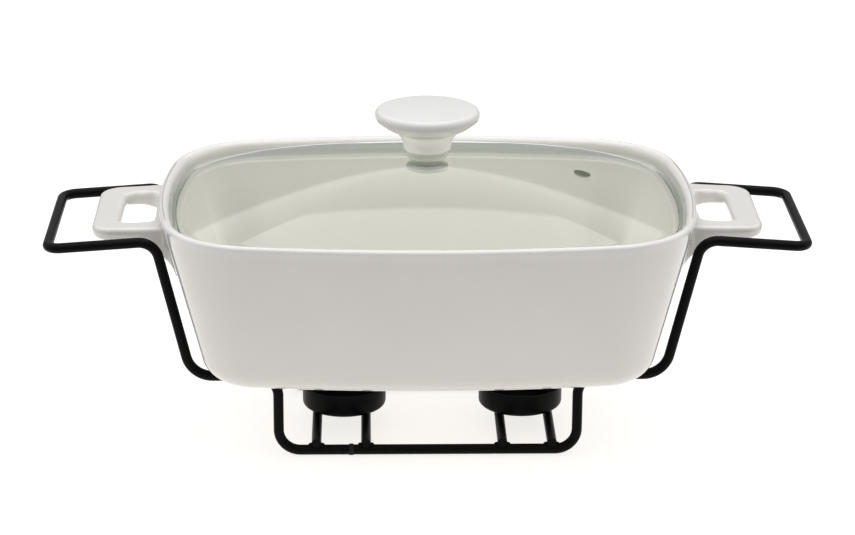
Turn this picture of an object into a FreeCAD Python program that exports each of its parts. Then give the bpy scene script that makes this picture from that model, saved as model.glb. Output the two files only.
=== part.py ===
import FreeCAD, Part
import math
import os
import Sketcher
from FreeCAD import Placement, Rotation, Vector

# Tealight food warmer: a bent wire stand with two tealight cups, a glazed dish and a domed glass lid.
# X runs along the dish, Y to the back and Z up. The origin is on the table under the middle.

os.makedirs("parts", exist_ok=True)
doc = FreeCAD.newDocument("TealightWarmer")

# Driving sizes in millimetres, apart from domePower, which is a plain exponent

drivingSizes = {
    # stand wire
    "wireDiameter": 5.2,
    "legBend": 11.0,
    "slopeBend": 13.5,
    "gripRootBend": 9.8,
    "gripCornerBend": 7.0,
    "barHalfDepth": 43.5,
    "legHalfSpacing": 75.8,
    "shelfHeight": 43.3,
    "shelfHalfLength": 119.3,
    "gripRootHalfLength": 136.2,
    "gripRootHeight": 115.0,
    "gripEndHalfLength": 189.6,
    "gripEndHeight": 111.2,
    "buttWeldOffset": 39.0,
    "buttWeldProud": 0.45,
    "buttWeldWidth": 2.4,
    "buttWeldRound": 0.3,
    "buttWeldGround": 0.4,
    # cross wires and cups
    "carrierShift": 3.2,
    "carrierSetback": 2.5,
    "crossWireDiameter": 5.0,
    "crossPairHalfSpacing": 47.3,
    "crossWireHalfGap": 12.6,
    "crossWireOverhang": 2.6,
    "weldSink": 0.7,
    "weldBead": 1.5,
    "cupWeldReach": 12.0,
    "cupHalfSpacing": 46.0,
    "cupRadius": 21.7,
    "cupHeight": 11.4,
    "cupWall": 1.0,
    "cupFootRound": 2.4,
    # dish
    "seatClearance": 0.3,
    "rimHeight": 127.5,
    "rimHalfLength": 136.5,
    "rimHalfDepth": 96.4,
    "rimLongBow": 624.0,
    "rimShortBow": 297.0,
    "rimCorner": 49.1,
    "rimWall": 5.4,
    "rimRound": 1.9,
    "footHalfLength": 113.7,
    "footHalfDepth": 82.3,
    "footLongBow": 691.0,
    "footShortBow": 431.0,
    "footCorner": 25.2,
    "footRound": 15.0,
    "floorThickness": 7.0,
    "footWall": 7.5,
    "cavityRound": 11.0,
    "ledgeDepth": 8.9,
    "ledgeWidth": 5.6,
    "ledgeRound": 1.5,
    "rimInset": 1.0,
    # dish handles
    "handleTopDrop": 9.0,
    "handleThickness": 6.6,
    "handleEnd": 168.6,
    "handleRootHalfWidth": 38.0,
    "handleEndHalfWidth": 35.2,
    "handleDroop": 1.6,
    "handleCorner": 9.0,
    "handleRound": 2.6,
    "handleBuried": 12.0,
    "fingerHoleRoot": 138.0,
    "fingerHoleEnd": 154.4,
    "fingerHoleHalfWidth": 24.5,
    "fingerHoleCorner": 4.5,
    "fingerHoleRound": 1.8,
    "gussetDepth": 9.0,
    "gussetNose": 133.6,
    "gussetFoot": 139.5,
    "gussetRound": 8.0,
    "noseRound": 4.0,
    # glass lid
    "lidGap": 2.4,
    "glassThickness": 4.4,
    "glassRise": 22.2,
    "glassFlange": 3.0,
    "flangeRise": 0.4,
    "flangeLand": 1.0,
    "domePower": 1.6,
    "knobSeatRadius": 13.0,
    "knobSeatBow": 20.0,
    "knobSeatCorner": 11.5,
    "glassEdgeRound": 1.2,
    "stemHoleRadius": 5.0,
    "ventOffset": 79.0,
    "ventRadius": 4.3,
    # knob and its fixings
    "gasketThickness": 4.0,
    "gasketRadius": 10.4,
    "gasketRound": 0.8,
    "bushThickness": 1.5,
    "bushRadius": 10.6,
    "bushClearance": 0.1,
    "washerThickness": 1.0,
    "washerRadius": 11.0,
    "screwRadius": 2.0,
    "screwHeadRadius": 4.7,
    "screwHeadHeight": 2.7,
    "screwHeadRound": 1.6,
    "screwReach": 8.0,
    "slotWidth": 1.2,
    "slotDepth": 1.3,
    "insertRadius": 3.8,
    "insertLength": 10.0,
    "insertFlangeRadius": 5.2,
    "insertFlangeHeight": 1.2,
    "knobRadius": 26.6,
    "knobHeight": 21.6,
    "knobCrown": 0.8,
    "knobNeckRadius": 11.8,
    "knobWaistRadius": 13.4,
    "knobWaistHeight": 8.2,
    "knobBellyRadius": 21.0,
    "knobBellyHeight": 12.0,
    "knobBrowHeight": 16.2,
    "knobNeckRound": 0.8,
    "knobWaistRound": 5.0,
    "knobBellyRound": 8.0,
    "knobBrowRound": 3.6,
    "knobRimRound": 2.7,
}

sheet = doc.addObject("Spreadsheet::Sheet", "Sizes")
for row, (alias, value) in enumerate(drivingSizes.items(), start=1):
    sheet.set("A%d" % row, alias)
    sheet.set("B%d" % row, str(value))
    sheet.setAlias("B%d" % row, alias)
doc.recompute()


class Size:
    # A number together with the formula of sheet cells that gives it

    def __init__(self, value, formula):
        self.value = float(value)
        self.formula = formula

    def combine(self, other, sign, value):
        text = other.formula if isinstance(other, Size) else repr(float(other))
        return Size(value, "(%s %s %s)" % (self.formula, sign, text))

    def __add__(self, other):
        return self.combine(other, "+", self.value + number(other))

    def __sub__(self, other):
        return self.combine(other, "-", self.value - number(other))

    def __mul__(self, other):
        return self.combine(other, "*", self.value * number(other))

    def __truediv__(self, other):
        return self.combine(other, "/", self.value / number(other))

    def __neg__(self):
        return Size(-self.value, "(0 - %s)" % self.formula)


def number(quantity):
    return quantity.value if isinstance(quantity, Size) else float(quantity)


def size(alias):
    return Size(sheet.get(alias), "Sizes." + alias)


def bind(target, prop, quantity):
    # Set a property now and keep it tied to the sheet
    if "." not in prop:
        setattr(target, prop, quantity.value)
    target.setExpression(prop, quantity.formula)


zero = Size(0, "0")
wireRadius = size("wireDiameter") / 2
crossRadius = size("crossWireDiameter") / 2
dishBase = size("shelfHeight") + wireRadius + size("seatClearance")
ledgeHeight = size("rimHeight") - size("ledgeDepth")
glassBase = ledgeHeight + size("seatClearance")
glassTop = glassBase + size("glassThickness") + size("glassRise")
crossHeight = size("wireDiameter") + crossRadius - size("weldSink")
cupBase = crossHeight + crossRadius


def place(target, x=zero, y=zero, z=zero, rotation=None):
    target.Placement = Placement(Vector(x.value, y.value, z.value), rotation or Rotation())
    for axis, quantity in (("x", x), ("y", y), ("z", z)):
        target.setExpression("Placement.Base." + axis, quantity.formula)


# Sketch helpers


def originPlane(body, role):
    return next(plane for plane in body.Origin.OriginFeatures if plane.Role == role)


def newSketch(body, name, role, offset=None):
    sketch = body.newObject("Sketcher::SketchObject", name)
    sketch.AttachmentSupport = [(originPlane(body, role), "")]
    sketch.MapMode = "FlatFace"
    if offset is not None:
        sketch.AttachmentOffset = Placement(Vector(0, 0, offset.value), Rotation())
        sketch.setExpression("AttachmentOffset.Base.z", offset.formula)
    return sketch


originPoint = (-1, 1)
horizontalAxisIndex = -1
verticalAxisIndex = -2


def fixDistance(sketch, kind, point, quantity):
    # Hold a point at a signed distance from the sketch's origin
    if abs(quantity.value) < 1e-9:
        axis = verticalAxisIndex if kind == "DistanceX" else horizontalAxisIndex
        sketch.addConstraint(Sketcher.Constraint("PointOnObject", *point, axis))
        return
    if quantity.value > 0:
        ends = originPoint + point
        length = quantity
    else:
        ends = point + originPoint
        length = -quantity
    index = sketch.addConstraint(Sketcher.Constraint(kind, *ends, length.value))
    sketch.setExpression("Constraints[%d]" % index, length.formula)


def polygonSketch(sketch, corners, crown=None):
    # A closed polygon whose corners are pairs of sizes. The side numbered crown is an arc about the
    # vertical axis, which it reaches at its end
    first = sketch.GeometryCount
    points = [Vector(x.value, y.value, 0) for x, y in corners]
    count = len(points)
    for index in range(count):
        start, end = points[index], points[(index + 1) % count]
        if index == crown:
            rise = end.y - start.y
            radius = (start.x ** 2 + rise ** 2) / (2 * rise)
            circle = Part.Circle(Vector(0, end.y - radius, 0), Vector(0, 0, 1), radius)
            begin = math.atan2(start.y - end.y + radius, start.x)
            sketch.addGeometry(Part.ArcOfCircle(circle, begin, math.pi / 2))
            sketch.addConstraint(Sketcher.Constraint("PointOnObject", first + index, 3, verticalAxisIndex))
        else:
            sketch.addGeometry(Part.LineSegment(start, end))
    for index in range(count):
        following = first + (index + 1) % count
        sketch.addConstraint(Sketcher.Constraint("Coincident", first + index, 2, following, 1))
    for index, (x, y) in enumerate(corners):
        fixDistance(sketch, "DistanceX", (first + index, 1), x)
        fixDistance(sketch, "DistanceY", (first + index, 1), y)
    return sketch


def circleSketch(sketch, radius, x=zero, y=zero):
    index = sketch.addGeometry(Part.Circle(Vector(x.value, y.value, 0), Vector(0, 0, 1), radius.value))
    constraint = sketch.addConstraint(Sketcher.Constraint("Radius", index, radius.value))
    sketch.setExpression("Constraints[%d]" % constraint, radius.formula)
    fixDistance(sketch, "DistanceX", (index, 3), x)
    fixDistance(sketch, "DistanceY", (index, 3), y)
    return sketch


def cornerCentre(outline):
    # The centre of the corner arc that touches the long and the short bow from inside
    corner = outline["corner"].value
    longCentre = Vector(0, outline["halfDepth"].value - outline["longBow"].value, 0)
    shortCentre = Vector(outline["halfLength"].value - outline["shortBow"].value, 0, 0)
    toLong = outline["longBow"].value - corner
    toShort = outline["shortBow"].value - corner
    apart = (shortCentre - longCentre).Length
    along = (toLong ** 2 - toShort ** 2 + apart ** 2) / (2 * apart)
    across = math.sqrt(toLong ** 2 - along ** 2)
    ahead = (shortCentre - longCentre).normalize()
    aside = Vector(-ahead.y, ahead.x, 0)
    candidates = [longCentre + ahead * along + aside * side * across for side in (1, -1)]
    return max(candidates, key=lambda point: point.x + point.y)


def bowedSketch(sketch, outline):
    # A rounded rectangle with bowed sides, drawn as eight arcs that run into each other
    halfLength, halfDepth = outline["halfLength"], outline["halfDepth"]
    longBow, shortBow, corner = outline["longBow"], outline["shortBow"], outline["corner"]
    centre = cornerCentre(outline)
    longCentre = Vector(0, halfDepth.value - longBow.value, 0)
    shortCentre = Vector(halfLength.value - shortBow.value, 0, 0)
    shortAngle = math.atan2(centre.y - shortCentre.y, centre.x - shortCentre.x)
    longAngle = math.atan2(centre.y - longCentre.y, centre.x - longCentre.x)
    turn = math.pi
    arcs = [
        (shortCentre, shortBow, -shortAngle, shortAngle),
        (centre, corner, shortAngle, longAngle),
        (longCentre, longBow, longAngle, turn - longAngle),
        (Vector(-centre.x, centre.y, 0), corner, turn - longAngle, turn - shortAngle),
        (-shortCentre, shortBow, turn - shortAngle, turn + shortAngle),
        (-centre, corner, turn + shortAngle, turn + longAngle),
        (-longCentre, longBow, turn + longAngle, 2 * turn - longAngle),
        (Vector(centre.x, -centre.y, 0), corner, 2 * turn - longAngle, 2 * turn - shortAngle),
    ]
    for middle, radius, start, end in arcs:
        circle = Part.Circle(middle, Vector(0, 0, 1), radius.value)
        sketch.addGeometry(Part.ArcOfCircle(circle, start, end))
    for index in range(8):
        sketch.addConstraint(Sketcher.Constraint("Tangent", index, 2, (index + 1) % 8, 1))
    for index, (middle, radius, start, end) in enumerate(arcs):
        constraint = sketch.addConstraint(Sketcher.Constraint("Radius", index, radius.value))
        sketch.setExpression("Constraints[%d]" % constraint, radius.formula)
    fixDistance(sketch, "DistanceX", (0, 3), halfLength - shortBow)
    fixDistance(sketch, "DistanceX", (4, 3), shortBow - halfLength)
    fixDistance(sketch, "DistanceY", (2, 3), halfDepth - longBow)
    fixDistance(sketch, "DistanceY", (6, 3), longBow - halfDepth)
    for index, axis in ((0, horizontalAxisIndex), (4, horizontalAxisIndex), (2, verticalAxisIndex), (6, verticalAxisIndex)):
        sketch.addConstraint(Sketcher.Constraint("PointOnObject", index, 3, axis))
    return sketch


def inset(outline, distance):
    # The same outline drawn a distance further in
    return {
        "halfLength": outline["halfLength"] - distance,
        "halfDepth": outline["halfDepth"] - distance,
        "longBow": outline["longBow"] - distance,
        "shortBow": outline["shortBow"] - distance,
        "corner": outline["corner"] - distance,
    }


# Feature helpers


def newBody(name):
    body = doc.addObject("PartDesign::Body", name)
    body.Label = name
    return body


def loftBetween(body, name, outlines, subtractive=False):
    # A loft through bowed outlines, given as pairs of an outline and its height
    sketches = []
    for index, (outline, height) in enumerate(outlines):
        sketch = newSketch(body, "%sSection%d" % (name, index), "XY_Plane", height)
        sketches.append(bowedSketch(sketch, outline))
    doc.recompute()
    kind = "PartDesign::SubtractiveLoft" if subtractive else "PartDesign::AdditiveLoft"
    loft = body.newObject(kind, name)
    loft.Profile = sketches[0]
    loft.Sections = sketches[1:]
    doc.recompute()
    return loft


def roundEdges(body, name, base, chosen, radius):
    # Fillet the edges of the base feature for which chosen(edge) is true
    names = ["Edge%d" % (index + 1) for index, edge in enumerate(base.Shape.Edges) if chosen(edge)]
    fillet = body.newObject("PartDesign::Fillet", name)
    fillet.Base = (base, names)
    bind(fillet, "Radius", radius)
    doc.recompute()
    return fillet


def revolveProfile(body, name, sketch, groove=False):
    kind = "PartDesign::Groove" if groove else "PartDesign::Revolution"
    feature = body.newObject(kind, name)
    feature.Profile = sketch
    feature.ReferenceAxis = (sketch, ["V_Axis"])
    feature.Angle = 360
    doc.recompute()
    return feature


def isFlatAt(edge, height, tolerance=0.02):
    box = edge.BoundBox
    return abs(box.ZMin - height) < tolerance and abs(box.ZMax - height) < tolerance


def isRing(edge, radius, height):
    # A full circle about the body's own axis
    return isFlatAt(edge, height.value) and abs(edge.BoundBox.XLength / 2 - radius.value) < 0.02


# Stand: a right and a left wire, each bent in one length and butt welded to the other on the bottom bars


def bentPath(corners, radii):
    # Straight runs through the corners, with an arc at each inner corner
    edges = []
    start = corners[0]
    for before, corner, after, radius in zip(corners, corners[1:], corners[2:], radii):
        incoming = (corner - before).normalize()
        outgoing = (after - corner).normalize()
        turn = incoming.getAngle(outgoing)
        setback = radius * math.tan(turn / 2)
        arcStart = corner - incoming * setback
        arcEnd = corner + outgoing * setback
        inward = (outgoing - incoming).normalize()
        middle = corner + inward * (radius / math.cos(turn / 2) - radius)
        edges.append(Part.LineSegment(start, arcStart).toShape())
        edges.append(Part.Arc(arcStart, middle, arcEnd).toShape())
        start = arcEnd
    edges.append(Part.LineSegment(start, corners[-1]).toShape())
    return Part.Wire(edges)


def wireRoute(side):
    # One side of the frame: along the front bar, out round the grip and back along the rear bar.
    # Gives the corners and the bend radius at each inner corner
    depth = size("barHalfDepth").value
    joint = Vector(-size("buttWeldOffset").value, 0, wireRadius.value)
    bends = [
        (size("legHalfSpacing").value, wireRadius.value, size("legBend").value),
        (size("legHalfSpacing").value, size("shelfHeight").value, size("legBend").value),
        (size("shelfHalfLength").value, size("shelfHeight").value, size("slopeBend").value),
        (size("gripRootHalfLength").value, size("gripRootHeight").value, size("gripRootBend").value),
        (size("gripEndHalfLength").value, size("gripEndHeight").value, size("gripCornerBend").value),
    ]
    front = [Vector(x * side, -depth, z) for x, z, radius in bends]
    rear = [Vector(x * side, depth, z) for x, z, radius in reversed(bends)]
    radii = [radius for x, z, radius in bends]
    return [joint - Vector(0, depth, 0)] + front + rear + [joint + Vector(0, depth, 0)], radii + radii[::-1]


def makeStandWire(name, side):
    path = doc.addObject("Part::Feature", name + "Path")
    corners, radii = wireRoute(side)
    path.Shape = bentPath(corners, radii)
    section = doc.addObject("Part::Circle", name + "Section")
    bind(section, "Radius", wireRadius)
    ahead = (corners[1] - corners[0]).normalize()
    section.Placement = Placement(corners[0], Rotation(Vector(0, 0, 1), ahead))
    doc.recompute()
    wire = doc.addObject("Part::Sweep", name)
    wire.Sections = [section]
    wire.Spine = (path, ["Edge%d" % (index + 1) for index in range(len(path.Shape.Edges))])
    wire.Solid = True
    wire.Frenet = False
    wire.Label = name
    doc.recompute()
    return wire


def makeButtWeld(name, side):
    # A raised ring of weld round the joint of the two wires, ground away under the bar so that it lies flat
    ring = doc.addObject("Part::Cylinder", name + "Ring")
    bind(ring, "Radius", wireRadius + size("buttWeldProud"))
    bind(ring, "Height", size("buttWeldWidth"))
    along = Rotation(Vector(0, 0, 1), Vector(1, 0, 0))
    joint = -size("buttWeldOffset")
    depth = size("barHalfDepth") * side
    place(ring, joint - size("buttWeldWidth") / 2, depth, wireRadius, along)
    rounded = doc.addObject("Part::Fillet", name + "Rounded")
    rounded.Base = ring
    doc.recompute()
    rims = [index + 1 for index, edge in enumerate(ring.Shape.Edges) if len(edge.Vertexes) == 1]
    rimRound = size("buttWeldRound").value
    rounded.Edges = [(rim, rimRound, rimRound) for rim in rims]
    bore = doc.addObject("Part::Cylinder", name + "Bore")
    bind(bore, "Radius", wireRadius)
    bind(bore, "Height", size("buttWeldWidth") * 2)
    place(bore, joint - size("buttWeldWidth"), depth, wireRadius, along)
    table = doc.addObject("Part::Box", name + "Ground")
    for prop in ("Length", "Width", "Height"):
        bind(table, prop, size("wireDiameter") * 2)
    place(table, joint - size("wireDiameter"), depth - size("wireDiameter"),
          size("buttWeldGround") - size("wireDiameter") * 2)
    removed = doc.addObject("Part::MultiFuse", name + "Removed")
    removed.Shapes = [bore, table]
    weld = doc.addObject("Part::Cut", name)
    weld.Base = rounded
    weld.Tool = removed
    weld.Label = name
    doc.recompute()
    return weld


def crossCentre(index):
    # The place along X of a cross wire, counted from the left
    pair = -1 if index < 2 else 1
    side = -1 if index % 2 == 0 else 1
    return size("carrierShift") + size("crossPairHalfSpacing") * pair + size("crossWireHalfGap") * side


wireRight = makeStandWire("wire_right", 1)
wireLeft = makeStandWire("wire_left", -1)
standWires = doc.addObject("Part::Compound", "standWires")
standWires.Links = [wireRight, wireLeft]


def makeCrossWire(index):
    name = "cross_wire_%d" % (index + 1)
    rod = doc.addObject("Part::Cylinder", name + "Rod")
    halfLength = size("barHalfDepth") + size("crossWireOverhang")
    bind(rod, "Radius", crossRadius)
    bind(rod, "Height", halfLength * 2)
    place(rod, crossCentre(index), -halfLength, crossHeight, Rotation(Vector(0, 0, 1), Vector(0, 1, 0)))
    wire = doc.addObject("Part::Cut", name)
    wire.Base = rod
    wire.Tool = standWires
    wire.Label = name
    doc.recompute()
    return wire


def makeCup(name, side):
    # A drawn sheet cup: flat floor, rounded foot and an open top
    cup = newBody(name)
    outer, wall, height = size("cupRadius"), size("cupWall"), size("cupHeight")
    sketch = newSketch(cup, name + "Profile", "XZ_Plane")
    inner = outer - wall
    corners = [(zero, zero), (outer, zero), (outer, height), (inner, height), (inner, wall), (zero, wall)]
    polygonSketch(sketch, corners)
    shell = revolveProfile(cup, name + "Shell", sketch)
    foot = roundEdges(cup, name + "Foot", shell, lambda edge: isFlatAt(edge, 0), size("cupFootRound"))
    inside = size("cupFootRound") - wall
    roundEdges(cup, name + "Floor", foot, lambda edge: isFlatAt(edge, wall.value), inside)
    place(cup, size("carrierShift") + size("cupHalfSpacing") * side, size("carrierSetback"), cupBase)
    return cup


def makeBeads(name, spots, radius, removed):
    # Weld beads: small balls at the spots, less the pieces that they join
    balls = []
    for index, (x, y, z) in enumerate(spots):
        ball = doc.addObject("Part::Sphere", "%sBall%d" % (name, index))
        bind(ball, "Radius", radius)
        place(ball, x, y, z)
        balls.append(ball)
    beads = doc.addObject("Part::Compound", name + "Balls")
    beads.Links = balls
    welded = doc.addObject("Part::MultiFuse", name + "Joined")
    welded.Shapes = removed
    weld = doc.addObject("Part::Cut", name)
    weld.Base = beads
    weld.Tool = welded
    weld.Label = name
    doc.recompute()
    return weld


buttWeldFront = makeButtWeld("butt_weld_front", -1)
buttWeldRear = makeButtWeld("butt_weld_rear", 1)
crossWires = [makeCrossWire(index) for index in range(4)]
cups = [makeCup("cup_left", -1), makeCup("cup_right", 1)]

crossSpots = []
for index in range(4):
    for barSide in (-1, 1):
        for side in (-1, 1):
            x = crossCentre(index) + (crossRadius + size("weldSink") / 2) * side
            crossSpots.append((x, size("barHalfDepth") * barSide, size("wireDiameter") - size("weldSink") / 2))
crossRods = [wire.Base for wire in crossWires]
crossWireWelds = makeBeads("cross_wire_welds", crossSpots, size("weldBead"), crossRods + [wireRight, wireLeft])

cupSpots = []
for index in range(4):
    for side in (-1, 1):
        cupSpots.append((crossCentre(index), size("carrierSetback") + size("cupWeldReach") * side, cupBase))
cupDisc = doc.addObject("Part::Cylinder", "cupFloorSpace")
bind(cupDisc, "Radius", size("rimHalfLength"))
bind(cupDisc, "Height", size("weldBead") * 2)
place(cupDisc, z=cupBase)
cupWelds = makeBeads("cup_welds", cupSpots, size("weldBead"), crossRods + [cupDisc])


# Dish: a lofted wall on a rounded foot, two open handles, and a stepped rim that carries the lid

rimOutline = {
    "halfLength": size("rimHalfLength"),
    "halfDepth": size("rimHalfDepth"),
    "longBow": size("rimLongBow"),
    "shortBow": size("rimShortBow"),
    "corner": size("rimCorner"),
}
footOutline = {
    "halfLength": size("footHalfLength"),
    "halfDepth": size("footHalfDepth"),
    "longBow": size("footLongBow"),
    "shortBow": size("footShortBow"),
    "corner": size("footCorner"),
}
handleTop = size("rimHeight") - size("handleTopDrop")
handleRoot = size("rimHalfLength") - size("handleBuried")


def makeHandle(name, side):
    # A flat loop with a finger hole. Its root thickens below into a gusset against the wall
    handle = newBody(name)
    end, rootWidth, endWidth = size("handleEnd"), size("handleRootHalfWidth"), size("handleEndHalfWidth")
    thickness, droop = size("handleThickness"), size("handleDroop")
    underside = handleTop - thickness
    floor = underside - size("gussetDepth") - thickness

    plan = newSketch(handle, name + "Plan", "XY_Plane", floor)
    corners = [(handleRoot, -rootWidth), (end, -endWidth), (end, endWidth), (handleRoot, rootWidth)]
    polygonSketch(plan, [(x * side, y) for x, y in corners])
    block = handle.newObject("PartDesign::Pad", name + "Block")
    block.Profile = plan
    bind(block, "Length", handleTop - floor)
    doc.recompute()

    # seen from the front, the top falls a little to the outer end and the gusset shapes the underside
    profile = newSketch(handle, name + "SideCuts", "XZ_Plane")
    beyond = end + thickness
    above, below = handleTop + thickness, floor - thickness
    polygonSketch(profile, [(handleRoot * side, handleTop), (beyond * side, handleTop - droop),
                            (beyond * side, above), (handleRoot * side, above)])
    polygonSketch(profile, [(handleRoot * side, floor), (size("gussetNose") * side, underside - size("gussetDepth")),
                            (size("gussetFoot") * side, underside), (beyond * side, underside - droop),
                            (beyond * side, below), (handleRoot * side, below)])
    cuts = handle.newObject("PartDesign::Pocket", name + "Side")
    cuts.Profile = profile
    cuts.Midplane = True
    bind(cuts, "Length", rootWidth * 4)
    doc.recompute()

    def isUpright(edge, x, y):
        box = edge.BoundBox
        return (box.ZLength > 2 and box.XLength < 0.5 and box.YLength < 0.5
                and abs(abs(box.Center.x) - x.value) < 0.5 and abs(abs(box.Center.y) - y.value) < 0.5)

    def isCrease(edge, x):
        box = edge.BoundBox
        return box.YLength > endWidth.value and box.XLength < 0.1 and abs(abs(box.Center.x) - x.value) < 0.2

    outer = roundEdges(handle, name + "Corners", cuts, lambda edge: isUpright(edge, end, endWidth),
                       size("handleCorner"))
    foot = roundEdges(handle, name + "Gusset", outer, lambda edge: isCrease(edge, size("gussetFoot")),
                      size("gussetRound"))
    nose = roundEdges(handle, name + "Nose", foot, lambda edge: isCrease(edge, size("gussetNose")),
                      size("noseRound"))

    def isOuterRim(edge):
        # where the loop's outside meets its top or its underside
        box = edge.BoundBox
        beyondNose = max(abs(box.XMin), abs(box.XMax)) > size("gussetFoot").value + 10
        across = box.YLength > endWidth.value and abs(box.Center.x) < end.value - 1
        upright = box.ZLength > 2 and box.XLength < 0.5 and box.YLength < 0.5
        return beyondNose and not across and not upright

    rounded = roundEdges(handle, name + "Round", nose, isOuterRim, size("handleRound"))

    hole = newSketch(handle, name + "Hole", "XY_Plane", floor)
    near, far, width = size("fingerHoleRoot"), size("fingerHoleEnd"), size("fingerHoleHalfWidth")
    holeCorners = [(near, -width), (far, -width), (far, width), (near, width)]
    polygonSketch(hole, [(x * side, y) for x, y in holeCorners])
    opening = handle.newObject("PartDesign::Pocket", name + "Opening")
    opening.Profile = hole
    opening.Reversed = True
    bind(opening, "Length", handleTop - floor)
    doc.recompute()

    def isHoleCorner(edge):
        return isUpright(edge, near, width) or isUpright(edge, far, width)

    inner = roundEdges(handle, name + "HoleCorners", opening, isHoleCorner, size("fingerHoleCorner"))

    def isHoleRim(edge):
        box = edge.BoundBox
        upright = box.ZLength > 2 and box.XLength < 0.5 and box.YLength < 0.5
        middle = box.Center
        inX = near.value - 0.1 < abs(middle.x) < far.value + 0.1
        return inX and abs(middle.y) < width.value + 0.1 and not upright

    roundEdges(handle, name + "HoleRound", inner, isHoleRim, size("fingerHoleRound"))
    return handle


def makeDish():
    dish = newBody("dish")
    wall = loftBetween(dish, "dishWall", [(rimOutline, size("rimHeight")), (footOutline, dishBase)])
    roundEdges(dish, "dishFoot", wall, lambda edge: isFlatAt(edge, dishBase.value), size("footRound"))
    joined = dish.newObject("PartDesign::Boolean", "dishHandles")
    joined.setObjects([makeHandle("handleRight", 1), makeHandle("handleLeft", -1)])
    joined.Type = "Fuse"
    doc.recompute()

    # the ledge that the lid lies on, and the cavity below it
    floor = dishBase + size("floorThickness")
    rimInside = inset(rimOutline, size("rimWall"))
    ledgeOutline = inset(rimInside, size("rimInset"))
    mouth = inset(ledgeOutline, size("ledgeWidth"))
    bottom = inset(footOutline, size("footWall"))
    loftBetween(dish, "dishRimStep", [(ledgeOutline, ledgeHeight), (rimInside, size("rimHeight"))], True)
    cavity = loftBetween(dish, "dishCavity", [(bottom, floor), (mouth, ledgeHeight)], True)
    bowl = roundEdges(dish, "dishBowl", cavity, lambda edge: isFlatAt(edge, floor.value), size("cavityRound"))

    def isMouth(edge):
        middle = edge.valueAt((edge.FirstParameter + edge.LastParameter) / 2)
        nearX = abs(middle.x) < mouth["halfLength"].value + 1
        nearY = abs(middle.y) < mouth["halfDepth"].value + 1
        return isFlatAt(edge, ledgeHeight.value) and nearX and nearY

    ledge = roundEdges(dish, "dishLedge", bowl, isMouth, size("ledgeRound"))
    roundEdges(dish, "dishRim", ledge, lambda edge: isFlatAt(edge, size("rimHeight").value), size("rimRound"))
    return dish


dish = makeDish()


# Lid: a domed glass with a flat seat in the middle for the knob

glassOutline = inset(rimOutline, size("rimWall") + size("rimInset") + size("lidGap"))
domeOutline = inset(glassOutline, size("glassFlange"))
seatOutline = {
    "halfLength": size("knobSeatRadius"),
    "halfDepth": size("knobSeatRadius"),
    "longBow": size("knobSeatBow"),
    "shortBow": size("knobSeatBow"),
    "corner": size("knobSeatCorner"),
}
domeHeight = size("glassRise") - size("flangeRise")
domeSteps = 5


def domeSections(lowered, firstOutline, firstHeight):
    # Outlines and heights from the dome's edge up to the flat seat for the knob
    sections = [(firstOutline, firstHeight)]
    for step in range(domeSteps - 1, -1, -1):
        fraction = step / domeSteps
        outline = {}
        for key in domeOutline:
            outline[key] = seatOutline[key] * (1 - fraction) + domeOutline[key] * fraction
        bend = Size(fraction ** size("domePower").value, "(%r ^ Sizes.domePower)" % fraction)
        sections.append((outline, glassTop - lowered - domeHeight * bend))
    return sections


def makeGlass():
    glass = newBody("lid_glass")
    edge = newSketch(glass, "glassEdgeOutline", "XY_Plane", glassBase)
    bowedSketch(edge, glassOutline)
    band = glass.newObject("PartDesign::Pad", "glassEdge")
    band.Profile = edge
    bind(band, "Length", size("glassThickness"))
    doc.recompute()
    edgeTop = glassBase + size("glassThickness")
    domeFoot = edgeTop + size("flangeRise")
    flange = loftBetween(glass, "glassFlange", [(glassOutline, edgeTop), (domeOutline, domeFoot)])
    roundEdges(glass, "glassEdgeRounding", flange,
               lambda edge: isFlatAt(edge, glassBase.value) or isFlatAt(edge, edgeTop.value), size("glassEdgeRound"))
    loftBetween(glass, "glassDome", domeSections(zero, domeOutline, domeFoot))
    hollow = domeSections(size("glassThickness"), inset(domeOutline, size("flangeLand")), glassBase)
    loftBetween(glass, "glassHollow", hollow, True)
    for name, radius, x in (("glassStemHole", size("stemHoleRadius"), zero),
                            ("glassVent", size("ventRadius"), size("ventOffset"))):
        sketch = newSketch(glass, name + "Sketch", "XY_Plane", glassTop + 1)
        circleSketch(sketch, radius, x)
        hole = glass.newObject("PartDesign::Pocket", name)
        hole.Profile = sketch
        hole.Type = 1
        doc.recompute()
    return glass


glass = makeGlass()

knobBase = glassTop + size("gasketThickness")
glassUnder = glassTop - size("glassThickness")
bushUnder = glassUnder - size("bushThickness")
washerUnder = bushUnder - size("washerThickness")


def makeTurned(name, corners, height):
    # A turned piece from a profile of radius and height pairs, standing at the given height
    body = newBody(name)
    sketch = newSketch(body, name + "Profile", "XZ_Plane")
    polygonSketch(sketch, corners)
    feature = revolveProfile(body, name + "Turned", sketch)
    place(body, z=height)
    return body, feature


def makeGasket():
    radius, bore, high = size("gasketRadius"), size("screwRadius") + 1, size("gasketThickness")
    body, ring = makeTurned("knob_gasket", [(bore, zero), (radius, zero), (radius, high), (bore, high)], glassTop)
    roundEdges(body, "knobGasketRound", ring,
               lambda edge: isRing(edge, radius, zero) or isRing(edge, radius, high), size("gasketRound"))
    return body


def makeBush():
    bore, sleeve = size("screwRadius") + size("bushClearance"), size("stemHoleRadius") - size("bushClearance")
    rim, high = size("bushRadius"), size("bushThickness")
    top = high + size("glassThickness")
    corners = [(bore, zero), (rim, zero), (rim, high), (sleeve, high), (sleeve, top), (bore, top)]
    return makeTurned("glass_bush", corners, bushUnder)[0]


def makeWasher():
    bore, rim, high = size("screwRadius") + size("bushClearance"), size("washerRadius"), size("washerThickness")
    return makeTurned("lid_washer", [(bore, zero), (rim, zero), (rim, high), (bore, high)], washerUnder)[0]


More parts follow.
